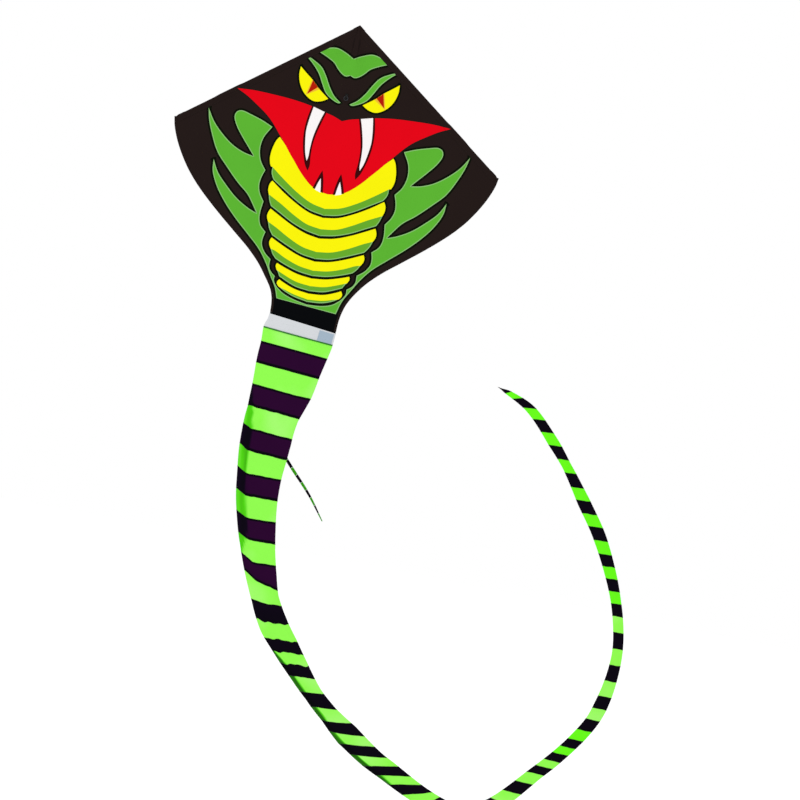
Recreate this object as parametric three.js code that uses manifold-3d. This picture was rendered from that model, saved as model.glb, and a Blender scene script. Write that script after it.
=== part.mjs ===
// Cobra kite in flight attitude: hooded head sail on a fibreglass frame, with a long striped tube tail.
// Millimetres. +Z runs up the spine to the nose, -Y is the printed face, +X is to the viewer's right.
// The origin is the centre of the tow ring. A "drop" is a distance below the nose.
import * as THREE from 'three';
import { mergeVertices } from 'three/addons/utils/BufferGeometryUtils.js';
import Module from 'manifold-3d';

const wasm = await Module();
wasm.setup();

// Head
const TOW_DROP = 250;            // nose to tow ring
const SAIL_Y = 12;               // middle of the cloth
const SAIL_T = 1.2;              // cloth with its seams, as a flat panel
const SPAN_HALF = 552;
const TIP_DROP = 416;
const NECK_HALF = 115;
const NECK_DROP = 1017;          // where the cloth ends on the spine
const NECK_SLANT = 0.112;        // the neck seam falls towards +X
const STRIP_HALF = 5;            // half width of the sail's centre seam strip
const PANEL_X = 6.5;             // inner edge of each wing panel

// Frame
const ROD_R = 2.5;
const SPINE_R = 2.75;
const GAP = 0.3;
const ROD_INSET = 6;             // leading rod, in from the cloth's edge
const SLEEVE_R = 4.5;
const SLEEVE_WALL = 0.9;
const CROSS_DROP = 301;          // spreader height
const SPINE_Y = SAIL_Y + 5.2;
const CROSS_Y = SAIL_Y + 15;
const SPINE_TOP = 22;
const SPINE_END = 955;

// Tow tab and ring
const RING_R = 7;
const RING_WIRE = 1;
const TAB_HALF = 3;

// Tail
const CUFF_TOP = 1021;
const CUFF_LENGTH = 46;
const TAIL_THICK = 6;
const SECTION_SIDES = 12;
const SEAM = 0.25;               // each stripe's cut, back from its seam
const SEAM_STEP = 0.35;
const STREAMER_STRIPES = 10;
const WAVE = 16;                 // how far the tail ripples out of its plane
const WAVE_LENGTH = 1250;
const HINGES = [420, 960, 1450, 1985, 2840];

// Centre line of the tail: across, drop, flat width
const TAIL_STATIONS = [
  [0, CUFF_TOP, 234],
  [-5.5, 1070, 237],
  [-18, 1159, 225],
  [-27, 1249, 207],
  [-42, 1338, 178],
  [-48, 1428, 173],
  [-43, 1609, 144],
  [-7, 1784, 119],
  [52, 1955, 92],
  [95, 2034, 97],
  [150, 2104, 89],
  [269, 2241, 61],
  [336, 2301, 63],
  [407, 2356, 82],
  [543, 2440, 72],
  [849, 2541, 58],
  [1068, 2348, 47],
  [1194, 2185, 45],
  [1230, 2101, 48],
  [1253, 1923, 36],
  [1217, 1748, 35],
  [1122, 1545, 44],
  [1044, 1434, 43],
  [964, 1325, 31],
  [906, 1257, 37],
  [810, 1161, 31],
  [729, 1121, 18],
  [687, 1107, 8],
];

// Stripes: distance down the tail, and how many stripes have ended there. They shorten as the tail narrows.
const STRIPE_MARKS = [
  [CUFF_LENGTH, 0],
  [94, 1],
  [830, 11],
  [969, 13],
  [1102, 15],
  [1245, 18],
  [1437, 21],
  [1650, 25],
  [2259, 37],
  [2433, 42],
  [2610, 46],
  [2887, 51],
  [3102, 56],
  [3348, 61],
  [3559, 65],
  [3712, 68],
];

// Side streamer behind the tail: across, drop, flat width
const STREAMER_STATIONS = [
  [-6, 1440, 10],
  [60, 1512, 10],
  [128, 1584, 8],
  [190, 1665, 3],
];

const COLOURS = {
  sail: 0x231815,
  black: 0x0b0b0c,
  lime: 0x8fff52,
  plum: 0x26002e,
  cuff: 0xdedee4,
  patch: 0xaac3dc,
  glassfibre: 0x1c1d1f,
  vinyl: 0x17181a,
  steel: 0x2a2c30,
};

const root = new THREE.Group();
root.name = 'cobra_kite';

// Material look per kind: colour, roughness, metalness
const LOOKS = {
  sail: [COLOURS.sail, 0.8, 0],
  webbing: [COLOURS.black, 0.9, 0],
  lime: [COLOURS.lime, 0.75, 0],
  plum: [COLOURS.plum, 0.75, 0],
  cuff: [COLOURS.cuff, 0.8, 0],
  patch: [COLOURS.patch, 0.8, 0],
  glassfibre: [COLOURS.glassfibre, 0.35, 0],
  vinyl: [COLOURS.vinyl, 0.5, 0],
  steel: [COLOURS.steel, 0.35, 1],
};

function zAt(drop) {
  return TOW_DROP - drop;
}

function flipWinding(geometry) {
  const order = geometry.index.array;
  for (let i = 0; i < order.length; i += 3) {
    const swap = order[i];
    order[i] = order[i + 1];
    order[i + 1] = swap;
  }
  return geometry;
}

function signedVolume(geometry) {
  const at = geometry.attributes.position;
  const order = geometry.index.array;
  const a = new THREE.Vector3();
  const b = new THREE.Vector3();
  const c = new THREE.Vector3();
  let total = 0;
  for (let i = 0; i < order.length; i += 3) {
    a.fromBufferAttribute(at, order[i]);
    b.fromBufferAttribute(at, order[i + 1]);
    c.fromBufferAttribute(at, order[i + 2]);
    total += a.dot(b.cross(c)) / 6;
  }
  return total;
}

// One closed body whose faces look outwards
function closed(geometry) {
  const bare = geometry.clone();
  bare.deleteAttribute('normal');
  bare.deleteAttribute('uv');
  const welded = mergeVertices(bare, 1e-4);
  const at = welded.attributes.position;
  const kept = [];
  const order = welded.index.array;
  for (let i = 0; i < order.length; i += 3) {
    const same = order[i] === order[i + 1] || order[i + 1] === order[i + 2] || order[i] === order[i + 2];
    if (!same) {
      kept.push(order[i], order[i + 1], order[i + 2]);
    }
  }
  const body = new THREE.BufferGeometry();
  body.setAttribute('position', at);
  body.setIndex(kept);
  return signedVolume(body) < 0 ? flipWinding(body) : body;
}

function toSolid(geometry) {
  const body = closed(geometry);
  return new wasm.Manifold(new wasm.Mesh({
    numProp: 3,
    vertProperties: new Float32Array(body.attributes.position.array),
    triVerts: new Uint32Array(body.index.array),
  }));
}

function fromSolid(solid) {
  const mesh = solid.getMesh();
  const body = new THREE.BufferGeometry();
  body.setAttribute('position', new THREE.BufferAttribute(new Float32Array(mesh.vertProperties), 3));
  body.setIndex(Array.from(mesh.triVerts));
  return body;
}

function add(parent, name, look, geometry) {
  const [colour, roughness, metalness] = LOOKS[look];
  const body = geometry;
  body.computeVertexNormals();
  const mesh = new THREE.Mesh(body, new THREE.MeshStandardMaterial({ color: colour, roughness, metalness }));
  mesh.name = name;
  parent.add(mesh);
  return mesh;
}

// Turn a body made along +Y so that it runs from one point to another
function along(geometry, from, to) {
  const way = to.clone().sub(from).normalize();
  const turn = new THREE.Quaternion().setFromUnitVectors(new THREE.Vector3(0, 1, 0), way);
  geometry.applyQuaternion(turn);
  geometry.translate(from.x, from.y, from.z);
  return closed(geometry);
}

function rod(from, to, radius, sides = 16) {
  const length = from.distanceTo(to);
  const geometry = new THREE.CylinderGeometry(radius, radius, length, sides);
  geometry.translate(0, length / 2, 0);
  return along(geometry, from, to);
}

function tube(from, to, outer, inner, sides = 16) {
  const length = from.distanceTo(to);
  const profile = [
    new THREE.Vector2(inner, 0),
    new THREE.Vector2(outer, 0),
    new THREE.Vector2(outer, length),
    new THREE.Vector2(inner, length),
    new THREE.Vector2(inner, 0),
  ];
  return along(new THREE.LatheGeometry(profile, sides), from, to);
}

// A cap with a blind socket, closed at its "to" end
function cap(from, to, outer, inner, floor) {
  const length = from.distanceTo(to);
  const profile = [
    new THREE.Vector2(0, length - floor),
    new THREE.Vector2(inner, length - floor),
    new THREE.Vector2(inner, 0),
    new THREE.Vector2(outer, 0),
    new THREE.Vector2(outer, length - 2),
    new THREE.Vector2(outer - 1.5, length),
    new THREE.Vector2(0, length),
  ];
  return along(new THREE.LatheGeometry(profile, 16), from, to);
}

function box(x, y, z, wide, deep, tall) {
  const geometry = new THREE.BoxGeometry(wide, deep, tall);
  geometry.translate(x, y, z);
  return closed(geometry);
}

// A flat outline in X and Z, given thickness in Y
function plate(shape, middle, thick) {
  const geometry = new THREE.ExtrudeGeometry(shape, { depth: thick, bevelEnabled: false, curveSegments: 12 });
  geometry.rotateX(Math.PI / 2);
  geometry.translate(0, middle + thick / 2, 0);
  return closed(geometry);
}

function mirrored(geometry) {
  const copy = geometry.clone();
  copy.scale(-1, 1, 1);
  return flipWinding(copy);
}

// Leading edge: unit way down the edge, and the way in from it
const edgeLength = Math.hypot(SPAN_HALF, TIP_DROP);
const edgeWay = new THREE.Vector3(SPAN_HALF / edgeLength, 0, -TIP_DROP / edgeLength);
const edgeIn = new THREE.Vector3(edgeWay.z, 0, -edgeWay.x);

function onEdge(distance, inset) {
  return new THREE.Vector3(0, SAIL_Y, TOW_DROP)
    .addScaledVector(edgeWay, distance)
    .addScaledVector(edgeIn, inset);
}

// One wing's cloth: stands back from the rod sleeve, then follows the hood's curved trailing edge
function wingPanel(slant) {
  const shape = new THREE.Shape();
  const seam = ROD_INSET + SLEEVE_R + GAP;
  const cornerOut = onEdge(24, 0);
  const cornerIn = onEdge(24, seam);
  const tipIn = onEdge(edgeLength - 4, seam);
  shape.moveTo(PANEL_X, zAt(NECK_DROP + PANEL_X * slant));
  shape.lineTo(PANEL_X, zAt(PANEL_X * TIP_DROP / SPAN_HALF + 0.5));
  shape.lineTo(cornerOut.x, cornerOut.z);
  shape.lineTo(cornerIn.x, cornerIn.z);
  shape.lineTo(tipIn.x, tipIn.z);
  shape.lineTo(SPAN_HALF - 4, zAt(438));
  shape.splineThru([
    [519, 520],
    [450, 612],
    [345, 708],
    [225, 806],
    [150, 890],
    [118, 962],
  ].map(([x, drop]) => new THREE.Vector2(x, zAt(drop))));
  shape.lineTo(NECK_HALF, zAt(NECK_DROP + NECK_HALF * slant));
  shape.closePath();
  return plate(shape, SAIL_Y, SAIL_T);
}

const crossOnEdge = (CROSS_DROP + edgeIn.z * ROD_INSET) / -edgeWay.z;

// Vinyl connector: grips the leading rod and holds the spreader in a socket behind the cloth
function edgeConnector() {
  const middle = onEdge(crossOnEdge, ROD_INSET);
  const from = onEdge(crossOnEdge - 19, ROD_INSET);
  const to = onEdge(crossOnEdge + 19, ROD_INSET);
  const grip = toSolid(rod(from, to, SLEEVE_R - 0.1, 20));
  const socketIn = new THREE.Vector3(middle.x - 44, CROSS_Y, middle.z);
  const socketOut = new THREE.Vector3(middle.x + 5, CROSS_Y, middle.z);
  const socket = toSolid(rod(socketIn, socketOut, 4.4, 20));
  const webDepth = CROSS_Y - SAIL_Y - 1;
  const web = toSolid(box(middle.x - 3, SAIL_Y + 1 + webDepth / 2, middle.z, 13, webDepth, 7));
  const boreRod = toSolid(rod(onEdge(crossOnEdge - 30, ROD_INSET), onEdge(crossOnEdge + 30, ROD_INSET), ROD_R + GAP));
  const boreFrom = new THREE.Vector3(middle.x - 60, CROSS_Y, middle.z);
  const boreTo = new THREE.Vector3(middle.x - 6, CROSS_Y, middle.z);
  const boreCross = toSolid(rod(boreFrom, boreTo, ROD_R + GAP));
  return fromSolid(grip.add(socket).add(web).subtract(boreRod).subtract(boreCross));
}

const crossStart = 20;
const crossEnd = onEdge(crossOnEdge, ROD_INSET).x - 7;

function wing(side) {
  const group = new THREE.Group();
  group.name = `${side}_wing`;
  const put = (name, look, geometry) => {
    add(group, `${side}_${name}`, look, side === 'left' ? mirrored(geometry) : geometry);
  };
  const rodFrom = 30;
  const rodTo = edgeLength - 14;
  const gapFrom = crossOnEdge - 29;
  const gapTo = crossOnEdge + 29;
  put('sail', 'sail', wingPanel(side === 'left' ? -NECK_SLANT : NECK_SLANT));
  put('leading_rod', 'glassfibre', rod(onEdge(rodFrom, ROD_INSET), onEdge(rodTo, ROD_INSET), ROD_R));
  put('upper_sleeve', 'webbing', tube(
    onEdge(rodFrom - 4, ROD_INSET), onEdge(gapFrom, ROD_INSET), SLEEVE_R, SLEEVE_R - SLEEVE_WALL));
  put('lower_sleeve', 'webbing', tube(
    onEdge(gapTo, ROD_INSET), onEdge(edgeLength - 28, ROD_INSET), SLEEVE_R, SLEEVE_R - SLEEVE_WALL));
  put('tip_cap', 'vinyl', cap(
    onEdge(edgeLength - 27, ROD_INSET), onEdge(edgeLength - 11, ROD_INSET), 4.2, ROD_R + GAP, 2.6));
  put('edge_connector', 'vinyl', edgeConnector());
  for (const [place, start] of [['upper', -26], ['lower', 21]]) {
    put(`${place}_stop_ring`, 'vinyl', tube(
      onEdge(crossOnEdge + start, ROD_INSET), onEdge(crossOnEdge + start + 5, ROD_INSET), 4.2, ROD_R + GAP));
  }
  put('spreader_rod', 'glassfibre', rod(
    new THREE.Vector3(crossStart, CROSS_Y, zAt(CROSS_DROP)),
    new THREE.Vector3(crossEnd, CROSS_Y, zAt(CROSS_DROP)), ROD_R));
  root.add(group);
}

// Centre of the sail, the spine in its sleeve, and the vinyl hub
function frame() {
  const group = new THREE.Group();
  group.name = 'frame';
  const spine = (from, to) => [
    new THREE.Vector3(0, SPINE_Y, zAt(from)),
    new THREE.Vector3(0, SPINE_Y, zAt(to)),
  ];
  const strip = new THREE.Shape();
  strip.moveTo(-STRIP_HALF, zAt(NECK_DROP - STRIP_HALF * NECK_SLANT));
  strip.lineTo(STRIP_HALF, zAt(NECK_DROP + STRIP_HALF * NECK_SLANT));
  strip.lineTo(STRIP_HALF, zAt(STRIP_HALF * TIP_DROP / SPAN_HALF));
  strip.lineTo(0, zAt(0));
  strip.lineTo(-STRIP_HALF, zAt(STRIP_HALF * TIP_DROP / SPAN_HALF));
  strip.closePath();
  add(group, 'centre_strip', 'sail', plate(strip, SAIL_Y, SAIL_T));
  add(group, 'spine_rod', 'glassfibre', rod(...spine(SPINE_TOP, SPINE_END), SPINE_R));
  add(group, 'upper_spine_sleeve', 'webbing', tube(...spine(44, CROSS_DROP - 26), 4.2, SPINE_R + GAP));
  add(group, 'lower_spine_sleeve', 'webbing', tube(...spine(CROSS_DROP + 26, SPINE_END - 26), 4.2, SPINE_R + GAP));
  add(group, 'nose_cap', 'vinyl', cap(...spine(36, 18), 4.2, SPINE_R + GAP, 2.6));
  add(group, 'spine_end_cap', 'vinyl', cap(...spine(SPINE_END - 16, SPINE_END + 4), 4.2, SPINE_R + GAP, 2.6));

  const hubHeight = zAt(CROSS_DROP);
  const upright = toSolid(rod(...spine(CROSS_DROP - 17, CROSS_DROP + 17), 4.3, 20));
  const bar = toSolid(rod(
    new THREE.Vector3(-11, CROSS_Y, hubHeight), new THREE.Vector3(11, CROSS_Y, hubHeight), 4.6, 20));
  const web = toSolid(box(0, (SPINE_Y + CROSS_Y) / 2, hubHeight, 9, CROSS_Y - SPINE_Y, 9));
  const pad = toSolid(box(0, CROSS_Y + 3.5, hubHeight, 16, 5, 14));
  const bore = toSolid(rod(...spine(CROSS_DROP - 30, CROSS_DROP + 30), SPINE_R + GAP));
  add(group, 'centre_hub', 'vinyl', fromSolid(upright.add(bar).add(web).add(pad).subtract(bore)));
  for (const side of [-1, 1]) {
    const from = new THREE.Vector3(side * (11 + GAP), CROSS_Y, hubHeight);
    const to = new THREE.Vector3(side * 38, CROSS_Y, hubHeight);
    add(group, `${side < 0 ? 'left' : 'right'}_hub_arm`, 'vinyl', tube(from, to, 4.4, ROD_R + GAP, 20));
  }

  const battenZ = zAt(986);
  add(group, 'neck_batten', 'glassfibre', box(0, SAIL_Y + 3, battenZ, 218, 1.6, 8));
  const pocket = toSolid(box(0, SAIL_Y + 3, battenZ, 226, 3.6, 13));
  const inside = toSolid(box(0, SAIL_Y + 3, battenZ, 219, 2.2, 8.6));
  const mouth = toSolid(box(110, SAIL_Y + 3, battenZ, 20, 2.2, 8.6));
  add(group, 'batten_pocket', 'webbing', fromSolid(pocket.subtract(inside.add(mouth))));

  const loopZ = RING_R - 0.3;
  const loop = toSolid(rod(new THREE.Vector3(-TAB_HALF, 0, loopZ), new THREE.Vector3(TAB_HALF, 0, loopZ), 3.2, 20));
  const front = SAIL_Y - SAIL_T / 2 - GAP;
  const stem = toSolid(box(0, (front + 1) / 2, loopZ, TAB_HALF * 2, front - 1, 2.4));
  const foot = toSolid(box(0, front - 0.6, loopZ, 9, 1.2, 20));
  const eye = toSolid(rod(new THREE.Vector3(-9, 0, loopZ), new THREE.Vector3(9, 0, loopZ), 2.2, 20));
  add(group, 'tow_tab', 'webbing', fromSolid(loop.add(stem).add(foot).subtract(eye)));
  root.add(group);
}

function towRing() {
  const geometry = new THREE.TorusGeometry(RING_R, RING_WIRE, 10, 32);
  geometry.rotateX(Math.PI / 2);
  const group = new THREE.Group();
  group.name = 'tow_ring_body';
  add(group, 'tow_ring', 'steel', closed(geometry));
  root.add(group);
}

// Place, width and direction at any distance down a ribbon
function ribbon(stations) {
  const line = new THREE.CatmullRomCurve3(
    stations.map(([x, drop]) => new THREE.Vector3(x, 0, zAt(drop))), false, 'centripetal');
  line.arcLengthDivisions = 1200;
  const length = line.getLength();
  const marks = stations.map((unused, i) => {
    const share = i / (stations.length - 1);
    const lengths = line.getLengths();
    return lengths[Math.round(share * (lengths.length - 1))];
  });
  const width = (distance) => {
    let i = 1;
    while (i < marks.length - 1 && marks[i] < distance) {
      i += 1;
    }
    const share = (distance - marks[i - 1]) / (marks[i] - marks[i - 1]);
    return THREE.MathUtils.lerp(stations[i - 1][2], stations[i][2], THREE.MathUtils.clamp(share, 0, 1));
  };
  const section = (distance, y, thick) => {
    const share = THREE.MathUtils.clamp(distance / length, 0, 1);
    const centre = line.getPointAt(share);
    const way = line.getTangentAt(share);
    centre.y = y;
    return {
      centre,
      way,
      across: new THREE.Vector3(-way.z, 0, way.x),
      halfWide: width(distance) / 2,
      halfThick: thick / 2,
    };
  };
  return { length, section };
}

// A flattened tube through its sections, with flat ends
function loft(sections) {
  const points = [];
  const order = [];
  for (const cut of sections) {
    for (let i = 0; i < SECTION_SIDES; i += 1) {
      const angle = 2 * Math.PI * i / SECTION_SIDES;
      const point = cut.centre.clone().addScaledVector(cut.across, cut.halfWide * Math.cos(angle));
      points.push(point.x, point.y + cut.halfThick * Math.sin(angle), point.z);
    }
  }
  const last = (sections.length - 1) * SECTION_SIDES;
  for (let row = 0; row < last; row += SECTION_SIDES) {
    for (let i = 0; i < SECTION_SIDES; i += 1) {
      const next = (i + 1) % SECTION_SIDES;
      order.push(row + i, row + next, row + SECTION_SIDES + i);
      order.push(row + next, row + SECTION_SIDES + next, row + SECTION_SIDES + i);
    }
  }
  for (let i = 1; i < SECTION_SIDES - 1; i += 1) {
    order.push(0, i + 1, i);
    order.push(last, last + i, last + i + 1);
  }
  const body = new THREE.BufferGeometry();
  body.setAttribute('position', new THREE.Float32BufferAttribute(points, 3));
  body.setIndex(order);
  return closed(body);
}

// Cuts along a run of stripes: each dark stripe is a little thinner, so every seam shows as a step
function stripeCuts(stripes, cut) {
  const cuts = [];
  for (const { from, to, look } of stripes) {
    for (const distance of [from + SEAM, (from + to) / 2, to - SEAM]) {
      const section = cut(distance);
      section.halfThick -= look === 'plum' ? SEAM_STEP : 0;
      cuts.push(section);
    }
  }
  return cuts;
}

// Distance down the tail at which a stripe ends, counted from the cuff
function stripeEnd(count) {
  const next = STRIPE_MARKS.findIndex((mark) => mark[1] >= count);
  const after = next < 0 ? STRIPE_MARKS.length - 1 : Math.max(next, 1);
  const [fromDistance, fromCount] = STRIPE_MARKS[after - 1];
  const [toDistance, toCount] = STRIPE_MARKS[after];
  const share = (count - fromCount) / (toCount - fromCount);
  return fromDistance + (toDistance - fromDistance) * share;
}

function tail() {
  const line = ribbon(TAIL_STATIONS);
  const cut = (distance) => {
    const ramp = THREE.MathUtils.smoothstep(distance, 100, 700);
    const y = SAIL_Y + WAVE * ramp * Math.sin(2 * Math.PI * distance / WAVE_LENGTH);
    const thick = Math.min(TAIL_THICK, Math.max(3.4, line.section(distance, 0, 1).halfWide / 3));
    return line.section(distance, y, thick);
  };

  const group = new THREE.Group();
  group.name = 'tail';
  add(group, 'neck_cuff', 'cuff', loft([GAP, CUFF_LENGTH - GAP].map(cut)));
  const patchMiddle = cut(CUFF_LENGTH / 2).centre;
  add(group, 'cuff_patch', 'patch', box(86, patchMiddle.y - TAIL_THICK / 2 - GAP - 0.5, patchMiddle.z, 52, 1, 40));

  let run = [];
  let segment = 1;
  let start = CUFF_LENGTH;
  let stripe = 0;
  while (line.length - start > 1) {
    stripe += 1;
    const end = Math.min(stripeEnd(stripe), line.length);
    const hinge = HINGES[segment - 1];
    const look = stripe % 2 === 1 ? 'lime' : 'plum';
    if (hinge >= start && hinge < end) {
      add(group, `tail_${segment}`, 'lime', loft(stripeCuts(run, cut)));
      add(group, `tail_flex_${segment}`, look, loft(stripeCuts([{ from: start, to: end, look }], cut)));
      segment += 1;
      run = [];
    } else {
      run.push({ from: start, to: end, look });
    }
    start = end;
  }
  add(group, `tail_${segment}`, 'lime', loft(stripeCuts(run, cut)));

  const side = ribbon(STREAMER_STATIONS);
  const behind = SAIL_Y + WAVE + TAIL_THICK / 2 + 3;
  const pieces = [];
  for (let i = 0; i < STREAMER_STRIPES; i += 1) {
    pieces.push({
      from: side.length * i / STREAMER_STRIPES,
      to: side.length * (i + 1) / STREAMER_STRIPES,
      look: i % 2 === 0 ? 'plum' : 'lime',
    });
  }
  add(group, 'side_streamer', 'plum', loft(stripeCuts(pieces, (distance) => side.section(distance, behind, 2))));
  root.add(group);
}

frame();
wing('left');
wing('right');
towRing();
tail();

export default root;
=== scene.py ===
import math

import bmesh
import bpy
import numpy as np
from mathutils import Matrix, Vector, noise
from mathutils.geometry import delaunay_2d_cdt


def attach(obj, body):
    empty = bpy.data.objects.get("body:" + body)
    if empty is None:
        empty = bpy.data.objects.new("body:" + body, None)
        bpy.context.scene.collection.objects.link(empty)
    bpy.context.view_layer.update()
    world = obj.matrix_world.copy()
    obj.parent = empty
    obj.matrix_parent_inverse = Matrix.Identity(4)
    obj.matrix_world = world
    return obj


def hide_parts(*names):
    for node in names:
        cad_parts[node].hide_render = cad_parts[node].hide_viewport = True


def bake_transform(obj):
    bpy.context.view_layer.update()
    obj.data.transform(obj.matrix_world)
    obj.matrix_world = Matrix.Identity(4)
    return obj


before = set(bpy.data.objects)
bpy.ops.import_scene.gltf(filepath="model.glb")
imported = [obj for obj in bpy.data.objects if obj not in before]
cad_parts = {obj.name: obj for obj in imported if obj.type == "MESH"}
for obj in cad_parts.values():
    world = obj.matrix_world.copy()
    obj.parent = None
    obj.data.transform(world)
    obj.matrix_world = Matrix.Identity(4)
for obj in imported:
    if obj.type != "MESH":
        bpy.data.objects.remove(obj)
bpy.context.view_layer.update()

MM = 0.001

# The frame of the part, in millimetres: a drop is a distance below the nose
TOW_DROP = 250
SAIL_Y = 12
SPAN_HALF = 552
TIP_DROP = 416
NECK_SLANT = 0.112
STRIP_HALF = 5.5
CLOTH_HALF = 0.25            # half the cloth's thickness
WALL = 2 * CLOTH_HALF
ROD_INSET = 6
CROSS_DROP = 301
CROSS_Y = 27
SPINE_Y = 17.2
EDGE_LENGTH = math.hypot(SPAN_HALF, TIP_DROP)
EDGE_X = SPAN_HALF / EDGE_LENGTH
EDGE_DROP = TIP_DROP / EDGE_LENGTH
CUFF_LENGTH = 46

# The tail's middle line: across, drop and flat width
TAIL_STATIONS = [
    (0, 1021, 234), (-5.5, 1070, 237), (-18, 1159, 225), (-27, 1249, 207), (-42, 1338, 178),
    (-48, 1428, 173), (-43, 1609, 144), (-7, 1784, 119), (52, 1955, 92), (95, 2034, 97),
    (150, 2104, 89), (269, 2241, 61), (336, 2301, 63), (407, 2356, 82), (543, 2440, 72),
    (849, 2541, 58), (1068, 2348, 47), (1194, 2185, 45), (1230, 2101, 48), (1253, 1923, 36),
    (1217, 1748, 35), (1122, 1545, 44), (1044, 1434, 43), (964, 1325, 31), (906, 1257, 37),
    (810, 1161, 31), (729, 1121, 18), (687, 1107, 8),
]
# Seams down the tail: the distance to one, and how many stripes come before it
STRIPE_MARKS = [
    (46, 0), (94, 1), (830, 11), (969, 13), (1102, 15), (1245, 18), (1437, 21), (1650, 25),
    (2259, 37), (2433, 42), (2610, 46), (2887, 51), (3102, 56), (3348, 61), (3559, 65), (3712, 68),
]
STREAMER_STATIONS = [(-6, 1440, 10), (60, 1512, 10), (128, 1584, 8), (190, 1665, 3)]
WAVE = 16
WAVE_LENGTH = 1250


# ---------------------------------------------------------------- materials

LIGHT = 1.14                 # what the studio light multiplies a matt colour by


def linear(colour):
    """A shader colour from a screen one of 0 to 255."""
    parts = [((c / 255 + 0.055) / 1.055) ** 2.4 if c > 10.31 else c / 255 / 12.92 for c in colour]
    return (*[part / LIGHT for part in parts], 1)


def fill(node, values):
    """Sets each named or numbered input of a node to its value, or links it to its socket."""
    for place, value in values.items():
        if isinstance(value, bpy.types.NodeSocket):
            node.id_data.links.new(value, node.inputs[place])
        else:
            node.inputs[place].default_value = value


def add(material, kind, values=None):
    node = material.node_tree.nodes.new("ShaderNode" + kind)
    fill(node, values or {})
    return node


def shader(name):
    """A new material, its main shader, and where its patterns are measured from."""
    material = bpy.data.materials.new(name)
    material.use_nodes = True
    where = add(material, "TexCoord").outputs["Object"]
    return material, material.node_tree.nodes["Principled BSDF"], where


def bumped(material, bsdf, *layers):
    """Bump layers one on the other: (height socket, strength, distance in metres)."""
    normal = {}
    for height, strength, distance in layers:
        bump = add(material, "Bump", {"Height": height, "Strength": strength, "Distance": distance, **normal})
        normal = {"Normal": bump.outputs["Normal"]}
    fill(bsdf, normal)


def speckle(material, where, scale, detail):
    return add(material, "TexNoise", {"Vector": where, "Scale": scale, "Detail": detail}).outputs["Fac"]


def ribs(material, where, direction, scale):
    node = add(material, "TexWave", {"Vector": where, "Scale": scale})
    node.bands_direction = direction
    return node.outputs["Fac"]


def maths(material, operation, *values, clamp=False):
    node = material.node_tree.nodes.new("ShaderNodeMath")
    node.operation = operation
    node.use_clamp = clamp
    fill(node, dict(enumerate(values)))
    return node.outputs[0]


def mixed(material, base, other, factor, blend):
    node = material.node_tree.nodes.new("ShaderNodeMix")
    node.data_type = "RGBA"
    node.blend_type = blend
    fill(node, {"A": base, "B": other, "Factor": factor})
    return node.outputs["Result"]


def darkened(material, base, factor, strength):
    """A colour or a socket, darkened a little where the factor is high."""
    return mixed(material, base, (1 - strength, 1 - strength, 1 - strength, 1), factor, "MULTIPLY")


def cloth(name, colour, deep=None, pale=None, worn=0.1, crease=0.35):
    """Thin woven polyester: plain weave, a ripstop grid, soft handling creases and slight fading.
    Where the mesh's shade attribute is high it turns to the two deep colours: painted shade on the tail's
    turned-away side and crease, near black on the dark cloth's lower tail and seams, and the streamer's
    colour throughout; elsewhere it bleaches to the pale one in patches."""
    material, bsdf, where = shader(name)
    base = linear(colour)
    if deep:
        # painted shade: the shade attribute mixes in the deep colours where the tail's side turns away
        attribute = add(material, "Attribute")
        attribute.attribute_name = "shade"
        shade = attribute.outputs["Fac"]
        steps = add(material, "ValToRGB", {"Fac": shade})
        stops = steps.color_ramp.elements
        stops[0].color = base
        stops[1].color = linear(deep[1])
        stops.new(0.5).color = linear(deep[0])
        base = steps.outputs["Color"]
        if pale:
            patches = add(material, "MapRange", {
                "Value": speckle(material, where, 5, 2), "From Min": 0.5, "From Max": 0.75, "To Max": 0.9})
            pale_where_unshaded = maths(material, "MULTIPLY_ADD", shade, -1.6, patches.outputs["Result"], clamp=True)
            base = mixed(material, base, linear(pale), pale_where_unshaded, "MIX")
    fill(bsdf, {
        "Base Color": darkened(material, base, speckle(material, where, 7, 4), worn),
        "Roughness": 0.7, "Specular IOR Level": 0.03, "Sheen Weight": 0.01, "Sheen Roughness": 0.5,
    })
    grid = maths(material, "MAXIMUM", ribs(material, where, "X", 62), ribs(material, where, "Z", 62))
    thread = maths(material, "POWER", grid, 12)
    bumped(material, bsdf, (speckle(material, where, 16, 3), crease, 0.004), (thread, 0.12, 0.0002))
    return material


def webbing(name, colour):
    material, bsdf, where = shader(name)
    fill(bsdf, {
        "Base Color": darkened(material, linear(colour), speckle(material, where, 60, 3), 0.3),
        "Roughness": 0.85, "Specular IOR Level": 0.2, "Sheen Weight": 0.1,
    })
    bumped(material, bsdf, (ribs(material, where, "DIAGONAL", 420), 0.5, 0.0004))
    return material


def hard(name, colour, rough, metal=0.0, scratch=0.15, scale=90, stretch=(1, 1, 1)):
    """Rods, vinyl fittings and wire: small-scale streaks and uneven gloss."""
    material, bsdf, where = shader(name)
    streaks = add(material, "Mapping", {"Vector": where, "Scale": stretch})
    grain = speckle(material, streaks.outputs["Vector"], scale, 5)
    gloss = add(material, "MapRange", {"Value": grain, "To Min": rough - 0.08, "To Max": rough + 0.12})
    fill(bsdf, {
        "Base Color": darkened(material, linear(colour), grain, 0.25),
        "Roughness": gloss.outputs["Result"], "Metallic": metal,
    })
    bumped(material, bsdf, (grain, scratch, 0.0004))
    return material


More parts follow.
